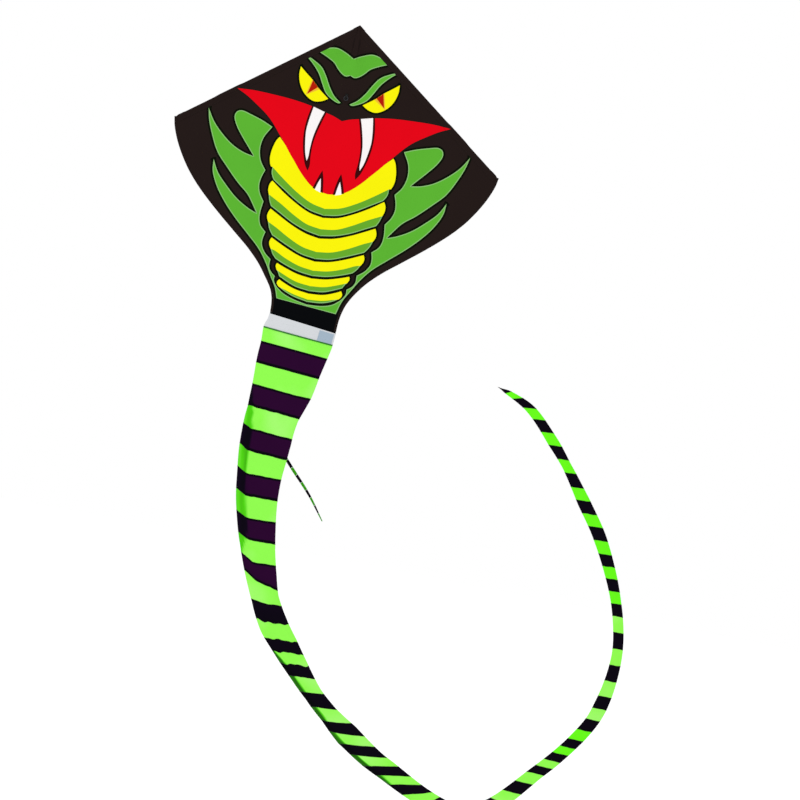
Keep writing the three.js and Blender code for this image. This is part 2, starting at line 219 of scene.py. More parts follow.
PRINT_COLOURS = {
    "black": (34, 24, 22),
    "green": (92, 180, 50),
    "yellow": (251, 245, 6),
    "belly": (103, 172, 45),
    "red": (229, 1, 21),
    "pupil": (180, 28, 5),
    "glow": (240, 190, 50),
    "white": (252, 248, 248),
    "maroon": (60, 5, 8),
    "band": (3, 4, 7),
    "ink": (6, 12, 2),
    "rim": (140, 194, 118),
}
PRINT_NAMES = list(PRINT_COLOURS)
SHOW_THROUGH = 0.78          # the back of the print is a little duller
prints = [cloth("print_" + key, PRINT_COLOURS[key]) for key in PRINT_NAMES]
prints += [
    cloth("print_back_" + key, [c * SHOW_THROUGH for c in PRINT_COLOURS[key]]) for key in PRINT_NAMES
]
DOUBLED = dict(worn=0.04, crease=0.6)
# The lime and plum cloths' deep colours are painted shade for the tail's side where it turns away; the plum's
# darkest one is also its own near-black lower tail and seams.
LIME = cloth("lime_cloth", (144, 251, 80), ((80, 212, 18), (36, 104, 14)), (172, 252, 124), **DOUBLED)
LIME_BRIGHT = cloth("lime_cloth_bright", (104, 250, 26), ((84, 208, 16), (36, 104, 14)), **DOUBLED)
PLUM = cloth("plum_cloth", (42, 2, 46), ((14, 2, 24), (4, 3, 9)), worn=0.2, crease=0.6)
CUFF = cloth("cuff_cloth", (214, 217, 221), worn=0.08, crease=0.6)
PATCH = cloth("patch_cloth", (164, 182, 198), worn=0.08)
THREAD = webbing("dark_thread", (14, 12, 12))
GREEN_THREAD = webbing("green_thread", (44, 128, 40))
WEBBING = webbing("webbing_tape", (16, 15, 15))
FIBREGLASS = hard("fibreglass_rod", (22, 23, 25), 0.32, scale=140, stretch=(1, 1, 0.12))
VINYL = hard("black_vinyl", (20, 21, 23), 0.48, scale=240, scratch=0.3)
STEEL = hard("blackened_wire", (70, 72, 78), 0.34, metal=1.0, scale=300)


# ---------------------------------------------------------------- meshes

def linked(name, data):
    obj = bpy.data.objects.new(name, data)
    bpy.context.scene.collection.objects.link(obj)
    return obj


def make(name, points, faces, materials, face_materials, sharp=40, shades=None):
    """A mesh from points in millimetres, its faces turned outwards."""
    mesh = bpy.data.meshes.new(name)
    mesh.from_pydata([(x * MM, y * MM, z * MM) for x, y, z in points], [], faces)
    for material in materials:
        mesh.materials.append(material)
    mesh.polygons.foreach_set("material_index", face_materials)
    build = bmesh.new()
    build.from_mesh(mesh)
    bmesh.ops.recalc_face_normals(build, faces=build.faces)
    build.to_mesh(mesh)
    build.free()
    mesh.polygons.foreach_set("use_smooth", [True] * len(mesh.polygons))
    mesh.set_sharp_from_angle(angle=math.radians(sharp))
    if shades is not None and any(shades):
        mesh.attributes.new("shade", "FLOAT", "POINT").data.foreach_set("value", shades)
    mesh.update()
    return linked(name, mesh)


def band(a, b, sides):
    """Faces between the ring of points that starts at a and the one that starts at b."""
    return [(a + i, a + (i + 1) % sides, b + (i + 1) % sides, b + i) for i in range(sides)]


class Pile:
    """Points and faces gathered from several closed bodies."""

    def __init__(self):
        self.points = []
        self.faces = []
        self.kinds = []
        self.shades = []

    def add(self, points, faces, kind=0, shades=None):
        start = len(self.points)
        self.points += [tuple(p) for p in points]
        self.shades += shades or [0.0] * len(points)
        self.faces += [[i + start for i in face] for face in faces]
        self.kinds += [kind] * len(faces)

    def ring_wall(self, outer, inner, kind=0, shades=None):
        """A thin-walled sleeve: rings outside and inside it, joined at both ends."""
        sides = len(outer[0])
        depth = len(outer) * sides
        faces = []
        for a in range(0, depth - sides, sides):
            for p, q, r, s in band(a, a + sides, sides):
                faces += [(p, q, r, s), (depth + q, depth + p, depth + s, depth + r)]
        for a in (0, depth - sides):
            faces += band(a, depth + a, sides)
        self.add([p for ring in outer + inner for p in ring], faces, kind, shades and shades * 2)

    def bar(self, rings):
        """A solid run of rings with capped ends."""
        rows, sides = len(rings), len(rings[0])
        faces = [tuple(range(sides)), tuple((rows - 1) * sides + i for i in range(sides))]
        for row in range(rows - 1):
            faces += band(row * sides, (row + 1) * sides, sides)
        self.add([p for ring in rings for p in ring], faces)

    def hoop(self, path, outward, radius, sides=5):
        """A round thread that runs along a closed path."""
        count = len(path)
        points = []
        faces = []
        for k in range(count):
            way = np.subtract(path[(k + 1) % count], path[k - 1])
            way = way / (np.linalg.norm(way) + 1e-9)
            side = np.cross(way, outward[k])
            for i in range(sides):
                angle = 2 * math.pi * i / sides
                step = np.multiply(outward[k], math.cos(angle)) + side * math.sin(angle)
                points.append(np.add(path[k], step * radius))
            faces += band(k * sides, (k + 1) % count * sides, sides)
        self.add(points, faces)

    def stitch(self, middle, way, normal, length=3.4, radius=0.42):
        """One stitch lying on the cloth."""
        side = np.cross(way, normal)
        around = [normal, side, np.negative(normal), np.negative(side)]
        points = [middle - way * length / 2, middle + way * length / 2]
        points += [middle + np.multiply(step, radius) for step in around]
        faces = []
        for i in range(4):
            j = (i + 1) % 4
            faces += [(0, 2 + j, 2 + i), (1, 2 + i, 2 + j)]
        self.add(points, faces)

    def object(self, name, materials, sharp=40):
        return make(name, self.points, self.faces, materials, self.kinds, sharp, self.shades)


def ramp(value, low, high):
    share = min(1.0, max(0.0, (value - low) / (high - low)))
    return share * share * (3 - 2 * share)


def catmull(stations, steps):
    """Centripetal Catmull-Rom curve through the stations."""
    stations = [np.array(p, float) for p in stations]
    ends = [2 * stations[0] - stations[1]] + stations + [2 * stations[-1] - stations[-2]]
    out = []
    for i in range(1, len(ends) - 2):
        p = ends[i - 1:i + 3]
        t = [0.0]
        for a, b in zip(p, p[1:]):
            t.append(t[-1] + max(np.linalg.norm(b[:2] - a[:2]), 1e-6) ** 0.5)
        for k in range(steps):
            at = t[1] + (t[2] - t[1]) * k / steps
            a1 = (t[1] - at) / (t[1] - t[0]) * p[0] + (at - t[0]) / (t[1] - t[0]) * p[1]
            a2 = (t[2] - at) / (t[2] - t[1]) * p[1] + (at - t[1]) / (t[2] - t[1]) * p[2]
            a3 = (t[3] - at) / (t[3] - t[2]) * p[2] + (at - t[2]) / (t[3] - t[2]) * p[3]
            b1 = (t[2] - at) / (t[2] - t[0]) * a1 + (at - t[0]) / (t[2] - t[0]) * a2
            b2 = (t[3] - at) / (t[3] - t[1]) * a2 + (at - t[1]) / (t[3] - t[1]) * a3
            out.append((t[2] - at) / (t[2] - t[1]) * b1 + (at - t[1]) / (t[2] - t[1]) * b2)
    out.append(stations[-1])
    return np.array(out)


def run(line):
    """How far along a line each of its points is."""
    return np.concatenate([[0], np.cumsum(np.linalg.norm(np.diff(line, axis=0), axis=1))])


def along(line, lengths, at):
    """The point of a line at a distance along it."""
    return np.array([np.interp(at, lengths, column) for column in line.T])


def stroke(points, spacing=7.0):
    """A smooth line through the points, cut into short pieces; two points make a straight line."""
    if len(points) == 2:
        return [tuple(map(float, p)) for p in points]
    line = catmull(points, 12)
    lengths = run(line)
    count = max(len(points) - 1, round(lengths[-1] / spacing))
    return [tuple(p) for p in along(line, lengths, np.linspace(0, lengths[-1], count + 1)).T]


def outline(strokes, spacing=7.0):
    """Points round a closed shape. Each stroke after the first starts where the one before it ends."""
    points = []
    start = []
    for part in strokes:
        for point in stroke(start + part, spacing):
            if not points or math.dist(points[-1], point) > 0.3:
                points.append(point)
        start = part[-1:]
    if math.dist(points[0], points[-1]) < 0.3:
        points.pop()
    return points


def on_edge(distance, inset):
    """(across, drop) of a point a distance down the right leading edge and inset from it."""
    return (distance * EDGE_X - inset * EDGE_DROP, distance * EDGE_DROP + inset * EDGE_X)


def from_edge(across, drop):
    """How far a point is behind the leading edge."""
    return drop * EDGE_X - abs(across) * EDGE_DROP


# ---------------------------------------------------------------- the printed sail

TRAILING = [
    (555, 418), (554, 428), (549, 450), (527, 503), (486, 570), (450, 612), (400, 660), (345, 708),
    (280, 761), (225, 806), (180, 851), (150, 892), (130, 930), (120, 962), (116, 990), (115, 1023),
]
SAIL = [
    [(0, 1023), (0, 0)],
    [on_edge(24, 0)],
    [on_edge(24, 11)],
    [on_edge(EDGE_LENGTH - 8, 11)],
    [(552, 415), (555, 418)],
    TRAILING[1:],
]

# Belly plates, each as five strokes: the top out from the middle; the outer end; back in between the yellow
# and its green shade; the end of the green; and the bottom back in
PLATES = [
    ([(0, 578), (30, 573), (60, 560), (84, 541), (108, 517), (130, 491), (150, 468), (170, 443), (195, 417)],
     [(203, 428), (209, 445), (214, 470), (214, 498), (205, 522), (200, 522)],
     [(150, 559), (100, 592), (50, 617), (0, 628)],
     [(200, 540), (195, 553), (188, 564)],
     [(150, 588), (100, 619), (50, 642), (0, 651)]),
    ([(0, 659), (50, 650), (100, 627), (150, 597), (192, 567)],
     [(199, 580), (200, 600), (195, 615)],
     [(150, 638), (100, 667), (50, 690), (0, 698)],
     [(190, 633), (181, 652)],
     [(150, 668), (100, 694), (50, 712), (0, 721)]),
    ([(0, 730), (50, 721), (100, 702), (150, 677), (180, 661)],
     [(186, 675), (187, 690), (180, 706)],
     [(150, 720), (100, 747), (50, 768), (0, 776)],
     [(172, 728), (158, 748)],
     [(100, 774), (50, 793), (0, 800)]),
    ([(0, 809), (50, 801), (100, 783), (150, 760), (158, 756)],
     [(163, 768), (161, 782), (154, 794)],
     [(140, 797), (100, 816), (50, 833), (0, 840)],
     [(145, 810), (132, 824)],
     [(100, 837), (50, 852), (0, 858)]),
    ([(0, 867), (50, 861), (100, 846), (124, 837)],
     [(127, 846), (121, 860)],
     [(100, 869), (50, 887), (0, 893)],
     [(117, 864), (108, 880)],
     [(95, 886), (50, 904), (0, 910)]),
    ([(0, 919), (50, 913), (95, 896), (106, 890)],
     [(112, 899), (111, 908), (103, 917)],
     [(85, 922), (50, 932), (0, 939)],
     [(106, 914)],
     [(85, 927), (50, 940), (0, 947)]),
]

HOOD = [
    [(226, 389), (262, 374), (305, 361), (338, 354), (353, 361), (358, 378), (345, 408), (318, 443),
     (290, 475), (270, 498)],
    [(305, 491), (345, 474), (385, 445), (422, 408), (449, 366)],
    [(440, 405), (420, 455), (392, 507), (352, 550), (305, 596), (266, 628), (240, 662),
     (224, 685)],
    [(255, 673), (300, 647), (345, 608), (378, 573), (400, 533)],
    [(396, 572), (372, 622), (335, 670), (290, 716), (240, 760), (195, 801), (163, 842),
     (138, 884), (116, 922), (103, 962)],
    [(0, 962)],
    [(0, 956)],
    [(50, 949), (85, 937), (107, 921)],
    [(118, 908), (124, 895), (123, 882)],
    [(140, 868), (148, 852), (148, 829)],
    [(172, 809), (186, 785), (187, 765), (182, 742)],
    [(203, 722), (211, 700), (212, 675), (208, 642)],
    [(226, 615), (233, 588), (230, 562), (222, 537)],
    [(243, 508), (253, 470), (248, 430), (226, 389)],
]

# The print on the right half, from the lowest layer to the top one
PRINT = [("green", HOOD)]
for top, outer, shade, green_end, bottom in PLATES:
    PRINT.append(("belly", [top, outer, green_end, bottom]))
    PRINT.append(("yellow", [top, outer, shade]))
PRINT += [
    ("red", [[(0, 327), (28, 316), (60, 308), (110, 295), (170, 286), (240, 281.5), (310, 280), (367, 283.5)],
             [(330, 301), (290, 326), (250, 354), (224, 379), (196, 412), (170, 443), (150, 468), (130, 491),
              (108, 517), (84, 541), (60, 560), (30, 573), (0, 578)]]),
    ("maroon", [[(56, 309), (66, 345), (76, 385), (81, 420), (81, 460), (78, 495), (82, 512)],
                [(94, 494), (104, 467), (113, 432), (118, 395), (118, 355), (113, 318), (108, 295)]]),
    ("white", [[(62, 307), (102, 296)],
               [(106, 320), (110, 350), (112, 380), (109, 410), (104, 440), (99, 460), (91, 480)],
               [(88, 465), (88, 440), (86, 405), (82, 380), (75, 350), (68, 325), (62, 307)]]),
    ("maroon", [[(32, 502), (25, 525), (20, 552), (17, 577)],
                [(54, 566)],
                [(46, 540), (38, 516), (32, 502)]]),
    ("white", [[(33, 529), (28.5, 552), (25, 577)], [(46, 570)], [(40, 548), (33, 529)]]),
    ("yellow", [[(170, 171), (170, 200), (160, 232), (140, 259), (108, 277), (80, 273), (59, 261)],
                [(98, 231), (121, 209), (146, 190), (170, 171)]]),
    ("glow", [[(94, 235), (124, 206)], [(137, 262)]]),
    ("pupil", [[(101, 229), (121, 209)], [(132, 257)]]),
    ("green", [[(165, 127), (128, 143), (100, 160), (80, 187), (62, 219), (40, 248), (15, 267)],
               [(22, 270), (48, 260), (71, 243), (88, 216), (106, 184), (130, 157), (165, 127)]]),
    ("green", [[(0, 113), (28, 97), (60, 87), (92, 93), (122, 110)],
               [(88, 124), (62, 138), (47, 155), (30, 170), (15, 176.5), (0, 171)]]),
    ("band", [[(0, 962), (200, 962)], [(200, 1030)], [(0, 1030)]]),
]


INK_LINE = 7                 # near-black line round the green and yellow shapes
RIM_LINE = 3                 # paler line just inside them
HEM_OUT = 2.2                # how far the folded cloth stands out past the rod pockets' line
INKED = ("green", "belly", "yellow")
RIMMED = ("green", "belly")


def grown(across, drop):
    """A point of the sail's outline, moved out by the cloth that its hems fold over."""
    if across < 0.1:
        return (across, drop - HEM_OUT / EDGE_X if drop < 1 else drop)
    if from_edge(across, drop) < 0.5:
        return (across + HEM_OUT * EDGE_DROP, drop - HEM_OUT * EDGE_X)
    return (across + 4 * ramp(drop, 560, 660) * (1 - ramp(drop, 870, 940)), drop)


def offset_ring(polygon, distance):
    """The closed polygon with every corner moved out of it by a distance, or into it by a negative one."""
    points = np.array(polygon)
    ahead = np.roll(points, -1, axis=0) - points
    ahead /= np.linalg.norm(ahead, axis=1)[:, None] + 1e-9
    way = ahead + np.roll(ahead, 1, axis=0)
    way /= np.linalg.norm(way, axis=1)[:, None] + 1e-9
    x, y = points[:, 0], points[:, 1]
    turn = np.sum(x * np.roll(y, -1) - np.roll(x, -1) * y)
    normal = np.stack([way[:, 1], -way[:, 0]], 1) * (1 if turn > 0 else -1)
    return [tuple(p) for p in points + normal * distance]


def away(points, polygon):
    """Distance of each point from the polygon's line."""
    nearest = np.full(len(points), 1e9)
    for a, b in zip(polygon, polygon[1:] + polygon[:1]):
        a, b = np.array(a), np.array(b)
        if a[0] < 0.1 and b[0] < 0.1:
            continue
        step = b - a
        share = np.clip((points - a) @ step / (step @ step), 0, 1)
        nearest = np.minimum(nearest, np.linalg.norm(points - a - share[:, None] * step, axis=1))
    return nearest


def inside(points, polygon):
    """Which points lie inside the polygon."""
    x, y = points[:, 0], points[:, 1]
    hit = np.zeros(len(points), bool)
    for (ax, ay), (bx, by) in zip(polygon, polygon[1:] + polygon[:1]):
        if ay != by:
            crosses = (ay > y) != (by > y)
            hit ^= crosses & (x < (bx - ax) * (y - ay) / (by - ay) + ax)
    return hit


def sail_triangles():
    """The right half of the sail, cut into triangles along every edge of the print."""
    rim = [grown(*point) for point in outline(SAIL, 9)]
    layers = [(key, outline(strokes)) for key, strokes in PRINT]
    points = []
    edges = []
    lined = [p for key, p in layers if key in INKED]
    rimmed = [p for key, p in layers if key in RIMMED]
    rings = [offset_ring(p, INK_LINE) for p in lined] + [offset_ring(p, -RIM_LINE) for p in rimmed]
    for polygon in [rim] + [p for _, p in layers] + rings:
        start = len(points)
        points += polygon
        edges += [(start + i, start + (i + 1) % len(polygon)) for i in range(len(polygon))]
    start = len(points)
    points += [(STRIP_HALF, -3.0), (STRIP_HALF, 1030.0)]
    edges.append((start, start + 1))
    line = np.array(points)
    drops = enumerate(np.arange(8, 1020, 11.0))
    grid = np.array([(x, y) for row, y in drops for x in np.arange(9 + 6.5 * (row % 2), 556, 13.0)])
    grid = grid[inside(grid, rim)]
    points += [tuple(p) for p in grid if np.min(np.abs(line - p).max(axis=1)) > 4.5]
    found, _, triangles = delaunay_2d_cdt([Vector((x, -y)) for x, y in points], edges, [], 0, 0.02)[:3]
    flat = np.array([(p.x, -p.y) for p in found])
    middles = np.array([flat[list(t)].mean(axis=0) for t in triangles])
    flat[:, 0] = np.maximum(flat[:, 0], 0.0)
    kinds = np.zeros(len(triangles), int)
    for polygon in lined:
        kinds[away(middles, polygon) < INK_LINE] = PRINT_NAMES.index("ink")
    for key, polygon in layers:
        within = inside(middles, polygon)
        kinds[within] = PRINT_NAMES.index(key)
        if key in RIMMED:
            kinds[within & (away(middles, polygon) < RIM_LINE)] = PRINT_NAMES.index("rim")
    keep = inside(middles, rim) & (middles[:, 0] > 0)
    return flat, [t for t, k in zip(triangles, keep) if k], kinds[keep], middles[keep]


def billow(across, drop):
    """How far the wind carries the cloth back between the spine and the leading edge."""
    spine = max(abs(across) - STRIP_HALF, 0)
    share = spine / (spine + max(from_edge(across, drop) - 22, 0) + 1e-6)
    lift = math.sin(math.pi * share) ** 2 * 7.5
    lift += 0.6 * ramp(spine, 0, 60) * noise.noise((across * 0.011, drop * 0.013, 2.0))
    flutter = 1.4 * math.sin(drop / 34 + abs(across) / 60) * ramp(share, 0.35, 0.8) * ramp(drop, 430, 560)
    return (lift + flutter) * (1 - ramp(drop, 780, 985)) * ramp(from_edge(across, drop), 18, 60)


def settle(across, drop, side):
    """Height of a point of the cloth: the neck seam slants across the kite."""
    return TOW_DROP - drop - side * NECK_SLANT * abs(across) * ramp(drop, 880, 1015)


def place(across, drop, side, lift=0):
    """Where a point of the flat sail is on the kite, or a lift behind it."""
    return np.array([across * side, SAIL_Y + billow(across, drop) + lift, settle(across, drop, side)])


def cloth_panel(name, triangles, kinds, sides):
    """A closed thin panel from flat triangles, on one side of the spine or on both."""
    middle = []
    where = {}
    fronts = []
    front_kinds = []
    for side in sides:
        for triangle, kind in zip(triangles, kinds):
            face = []
            for i in triangle:
                across, drop = flat[i]
                key = (round(across * side, 2), round(drop, 2))
                if key not in where:
                    where[key] = len(middle)
                    middle.append(place(across, drop, side))
                face.append(where[key])
            if len(set(face)) == 3:
                fronts.append(face if side > 0 else face[::-1])
                front_kinds.append(int(kind))
    count = len(middle)
    points = [(x, y + lift, z) for lift in (-CLOTH_HALF, CLOTH_HALF) for x, y, z in middle]
    faces = [list(f) for f in fronts] + [[i + count for i in f[::-1]] for f in fronts]
    face_kinds = front_kinds + [k + len(PRINT_NAMES) for k in front_kinds]
    used = {}
    for face, kind in zip(fronts, front_kinds):
        for a, b in zip(face, face[1:] + face[:1]):
            used[(a, b)] = kind
    for (a, b), kind in used.items():
        if (b, a) not in used:
            faces.append([b, a, a + count, b + count])
            face_kinds.append(kind)
    return make(name, points, faces, prints, face_kinds, sharp=50)


HAND = {1: "right", -1: "left"}
flat, triangles, kinds, middles = sail_triangles()
in_strip = middles[:, 0] < STRIP_HALF


def chosen(mask):
    return [t for t, m in zip(triangles, mask) if m], kinds[mask]


def follow_wing(obj):
    """Bakes the cloth's placing into its mesh."""
    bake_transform(obj)


strip = cloth_panel("centre_cloth", *chosen(in_strip), (1, -1))
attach(strip, "frame")
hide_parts("centre_strip")

# Hem along the trailing edge, and the row of stitches on each face of it
rim_line = np.array([grown(*point) for point in stroke(TRAILING, 8)])[:-1]
HEAD_MIDDLE = np.array([0, 500])


def hem_cuts():
    """Points down the hem, each with the way into the cloth from it."""
    for i, point in enumerate(rim_line):
        way = rim_line[min(i + 1, len(rim_line) - 1)] - rim_line[max(i - 1, 0)]
        way = way / np.linalg.norm(way)
        inward = np.array([-way[1], way[0]])
        yield point, -inward if inward @ (HEAD_MIDDLE - point) < 0 else inward


def trailing_hem(side):
    pile = Pile()
    section = ((-0.6, 0.0), (3.2, 0.85), (7.5, 0.7), (7.5, -0.7), (3.2, -0.85))
    pile.bar([[place(*(point + inward * inset), side, lift) for inset, lift in section]
              for point, inward in hem_cuts()])
    return pile.object(f"{HAND[side]}_trailing_hem", [prints[0]])


def stitch_row(pile, points, outward, pitch=5.0):
    """Stitches along a line of points, on the side that faces outward."""
    line = np.array(points)
    lengths = run(line)
    for at in np.arange(pitch, lengths[-1] - pitch / 2, pitch):
        middle = along(line, lengths, at)
        way = along(line, lengths, at + 1) - middle
        pile.stitch(middle, way / np.linalg.norm(way), np.array(outward))


def hem_stitches(side):
    pile = Pile()
    for face in (-1, 1):
        row = [place(*(point + inward * 5.6), side, face * 0.85) for point, inward in hem_cuts()]
        stitch_row(pile, row, (0, face, 0))
    return pile.object(f"{HAND[side]}_hem_stitches", [THREAD])


# ---------------------------------------------------------------- rod sleeves

CROSS_ON_EDGE = (CROSS_DROP - EDGE_X * ROD_INSET) / EDGE_DROP
MOUTH_CORNER = (432, 480)    # where the printed mouth runs out over the leading edge


def sleeve_profile(distance, shrink, whole=True):
    """Section round the leading rod: a round nose drawn down to a flat seam, or its front half alone.
    Pairs of inset and depth."""
    radius = 3.9 + 0.25 * noise.noise((distance * 0.03, 4, 0)) + 0.95 * ramp(distance, 655, 664) - shrink
    radius += 1.3 * (1 - ramp(abs(distance - CROSS_ON_EDGE), 33, 60))
    radius *= 1 - 0.45 * ramp(distance, EDGE_LENGTH - 9, EDGE_LENGTH - 2)
    seam = 21 - shrink * 3
    thin = 0.95 - shrink * 0.75
    points = [(seam, thin), (15, thin + 0.5)] if whole else []
    first = 55 if whole else 170
    for k in range(11):
        angle = math.radians(first + (305 - first) * k / 10)
        reach = radius + (HEM_OUT + 0.9 if math.cos(angle) < 0 else 0)
        points.append((ROD_INSET + reach * math.cos(angle), radius * math.sin(angle)))
    points += [(15, -thin - 0.5), (seam, -thin)]
    fine = [points[0]]
    for (ax, ay), (bx, by) in zip(points, points[1:]):
        parts = 3 if math.dist((ax, ay), (bx, by)) > 4 else 1
        fine += [(ax + (bx - ax) * k / parts, ay + (by - ay) * k / parts) for k in range(1, parts + 1)]
    return fine


def sleeve_ring(distance, side, profile):
    ring = []
    for inset, depth in profile:
        across, drop = on_edge(distance, inset)
        ring.append((max(across, 7.0) * side, SAIL_Y + depth, TOW_DROP - drop))
    return ring


def edge_steps(start, stop):
    """Distances along the leading edge, close together where the mouth is printed on the pocket."""
    count = round((stop - start) / 9)
    steps = [start + (stop - start) * k / count for k in range(count + 1)]
    low, high = MOUTH_CORNER
    fine = [d for d in np.arange(low, high, 1.6) if start + 0.8 < d < stop - 0.8]
    return sorted([d for d in steps if not (low - 1 < d < high and start < d < stop)] + fine)


def edge_sleeve(name, start, stop, side, web=0):
    """A rod pocket. Its front alone carries on across the connector opening for the length of the web."""
    pile = Pile()
    stations = edge_steps(start, stop)
    pile.ring_wall(*[[sleeve_ring(d, side, sleeve_profile(d, shrink)) for d in stations]
                     for shrink in (0, WALL)])
    if web:
        rings = []
        for distance in edge_steps(stop - 1.5, stop + web + 1.5):
            front, back = [sleeve_ring(distance, side, sleeve_profile(distance, shrink, whole=False))
                           for shrink in (0.03, WALL - 0.03)]
            rings.append(front + back[::-1])
        pile.bar(rings)
    sleeve = pile.object(name, [prints[0], prints[PRINT_NAMES.index("red")]], sharp=60)
    centres = np.array([tuple(face.center) for face in sleeve.data.polygons]) / MM
    mouth = next(outline(strokes) for key, strokes in PRINT if key == "red")
    red = inside(np.stack([np.abs(centres[:, 0]), TOW_DROP - centres[:, 2]], 1), mouth)
    red &= centres[:, 1] < SAIL_Y
    sleeve.data.polygons.foreach_set("material_index", red.astype(int))
    threads = Pile()
    for face in (-1, 1):
        seam = [on_edge(distance, 18.4) for distance in stations]
        row = [(max(across, 7.4) * side, SAIL_Y + face * 1.15, TOW_DROP - drop) for across, drop in seam]
        stitch_row(threads, row, (0, face, 0))
    return sleeve, threads.object(name + "_stitches", [THREAD])


for side, hand in HAND.items():
    panel = cloth_panel(f"{hand}_wing_cloth", *chosen(~in_strip), (side,))
    hem = trailing_hem(side)
    threads = hem_stitches(side)
    for piece in (panel, hem, threads):
        follow_wing(piece)
    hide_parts(f"{hand}_sail")
    for level, start, stop, web in (
            ("upper", 14, CROSS_ON_EDGE - 29, 58), ("lower", CROSS_ON_EDGE + 29, EDGE_LENGTH - 1, 0)):
        sleeve, rows = edge_sleeve(f"{hand}_{level}_rod_pocket", start, stop, side, web)
        for piece in (sleeve, rows):
            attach(piece, f"{hand}_wing")
        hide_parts(f"{hand}_{level}_sleeve")


# Spine sleeves: cloth channels sewn to the back of the sail
def channel_profile(drop, shrink):
    """Section of the spine channel: pairs of across and depth."""
    radius = 4.1 + 0.2 * noise.noise((drop * 0.03, 9, 0)) - shrink
    centre = SPINE_Y - SAIL_Y
    points = []
    for k in range(13):
        angle = math.radians(-40 + 260 / 12 * k)
        points.append((radius * math.cos(angle), centre + radius * math.sin(angle)))
    base = CLOTH_HALF + 0.05 + shrink
    wide = 11 - shrink
    top = base + 0.75 - shrink * 1.2
    return points + [(-wide, top), (-wide, base), (wide, base), (wide, top)]


for name, start, stop in (("upper", 44, CROSS_DROP - 26), ("lower", CROSS_DROP + 26, 929)):
    pile = Pile()
    count = round((stop - start) / 12)
    drops = [start + (stop - start) * k / count for k in range(count + 1)]
    pile.ring_wall(*[[[(x, SAIL_Y + y, TOW_DROP - drop) for x, y in channel_profile(drop, shrink)]
                      for drop in drops] for shrink in (0, WALL)])
    channel = pile.object(f"{name}_spine_channel", [prints[len(PRINT_NAMES)]], sharp=60)
    threads = Pile()
    for side in (-1, 1):
        row = [(side * 8.6, SAIL_Y + 1.25, TOW_DROP - d) for d in (start, stop)]
        stitch_row(threads, row, (0, 1, 0))
    rows = threads.object(f"{name}_spine_stitches", [THREAD])
    for piece in (channel, rows):
        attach(piece, "frame")
    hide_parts(f"{name}_spine_sleeve")


# ---------------------------------------------------------------- the tail

STEPS = 60
tail_path = catmull(TAIL_STATIONS, STEPS)[:, :2]
tail_lengths = run(tail_path)
TAIL_LENGTH = float(tail_lengths[-1])
station_marks = tail_lengths[::STEPS]
station_widths = [width for _, _, width in TAIL_STATIONS]


def tail_at(distance):
    """Centre (across, drop), way, and half width at a distance down the tail."""
    here = max(0.0, min(distance, TAIL_LENGTH))
    way = along(tail_path, tail_lengths, min(here + 6, TAIL_LENGTH))
    way -= along(tail_path, tail_lengths, max(here - 6, 0))
    way /= np.linalg.norm(way)
    return along(tail_path, tail_lengths, here), way, np.interp(here, station_marks, station_widths) / 2


def tail_depth(distance):
    return SAIL_Y + WAVE * ramp(distance, 100, 700) * math.sin(2 * math.pi * distance / WAVE_LENGTH)


STRIPES = 70
marks, counts = zip(*STRIPE_MARKS, (TAIL_LENGTH, STRIPES))
stripe_ends = [float(np.interp(k, counts, marks)) for k in range(STRIPES + 1)]
AROUND = 44
FOLD_WIDTH = 32


def fold_width(distance):
    """Width of the creased strip along the left edge, which is also painted with shade: broad below the neck,
    a sliver further down.
    """
    broad = FOLD_WIDTH * ramp(distance, 210, 400) * (1 - ramp(distance, 700, 860))
    sliver = 15 * ramp(distance, 1110, 1210) * (1 - ramp(distance, 1650, 1850))
    return broad + sliver


def fold_edge(distance, half):
    """Where the creased, shade-painted strip ends, as a share of the half width; -1 is no strip."""
    return -1 + min(fold_width(distance) / half, 0.8)


def seam_shift(distance, offset, half):
    """How far down the tail a seam runs at an offset across it: level on the front, kinked at the fold."""
    way = tail_at(distance)[1]
    slope = way[0] * way[1] / (way[1] ** 2 + 0.06) * ramp(distance, 4, 44) * ramp(abs(way[1]), 0.2, 0.5)
    slope += 0.07 * ramp(distance, 4, 44) * (1 - ramp(distance, 430, 560))
    slope += 0.32 * ramp(distance, 840, 890) * (1 - ramp(distance, 905, 985))
    shift = offset * slope
    past = FOLD_WIDTH - half - offset
    if past > 0:
        kink = 0.6 * ramp(distance, 280, 480) + 0.25 * ramp(distance, 720, 820)
        shift -= past * kink * (1 - ramp(distance, 850, 1030))
    wobble = 2.0 + 6.0 * ramp(distance, 960, 1040) * (1 - ramp(distance, 1180, 1300))
    shift += wobble * noise.noise((offset * 0.06, distance * 0.02, 6.0)) * ramp(distance, CUFF_LENGTH, 300)
    return shift


def painted_fold_shade(distance, k):
    """How deep the painted shade is at a point of the tube: on the strip along the left edge where the tube's
    side turns away, darkest along its crease.
    """
    angle = 2 * math.pi * k / AROUND
    half = tail_at(distance)[2]
    inward = (fold_edge(distance, half) - math.cos(angle)) * half
    if math.sin(angle) > 0.05 or fold_width(distance) < 2:
        return 0.0
    # painted shade: the strip darkens towards its crease, and more on the lower tail, where the tube's side
    # turns away
    deep = 0.62 - 0.2 * ramp(inward, 6, FOLD_WIDTH - 4)
    deep += 0.16 * noise.noise((inward * 0.09, distance * 0.008, 8.0))
    deep += 0.4 * ramp(distance, 1000, 1150)
    return max(0.0, min(1.0, deep)) * ramp(inward, -2.5, 2.5)


def plum_dark_and_painted_shade(distance, k, start, end):
    """How near black the dark cloth is: the lower tail and both seams of a stripe, and painted shade on the
    strip along the left edge where the tube's side turns away.
    """
    shade = max(0.8 * ramp(distance, 860, 1020), 1.3 * painted_fold_shade(distance, k))
    return max(shade, 1 - ramp(distance - start, 4, 7.5), 1 - ramp(end - distance, 6, 10))


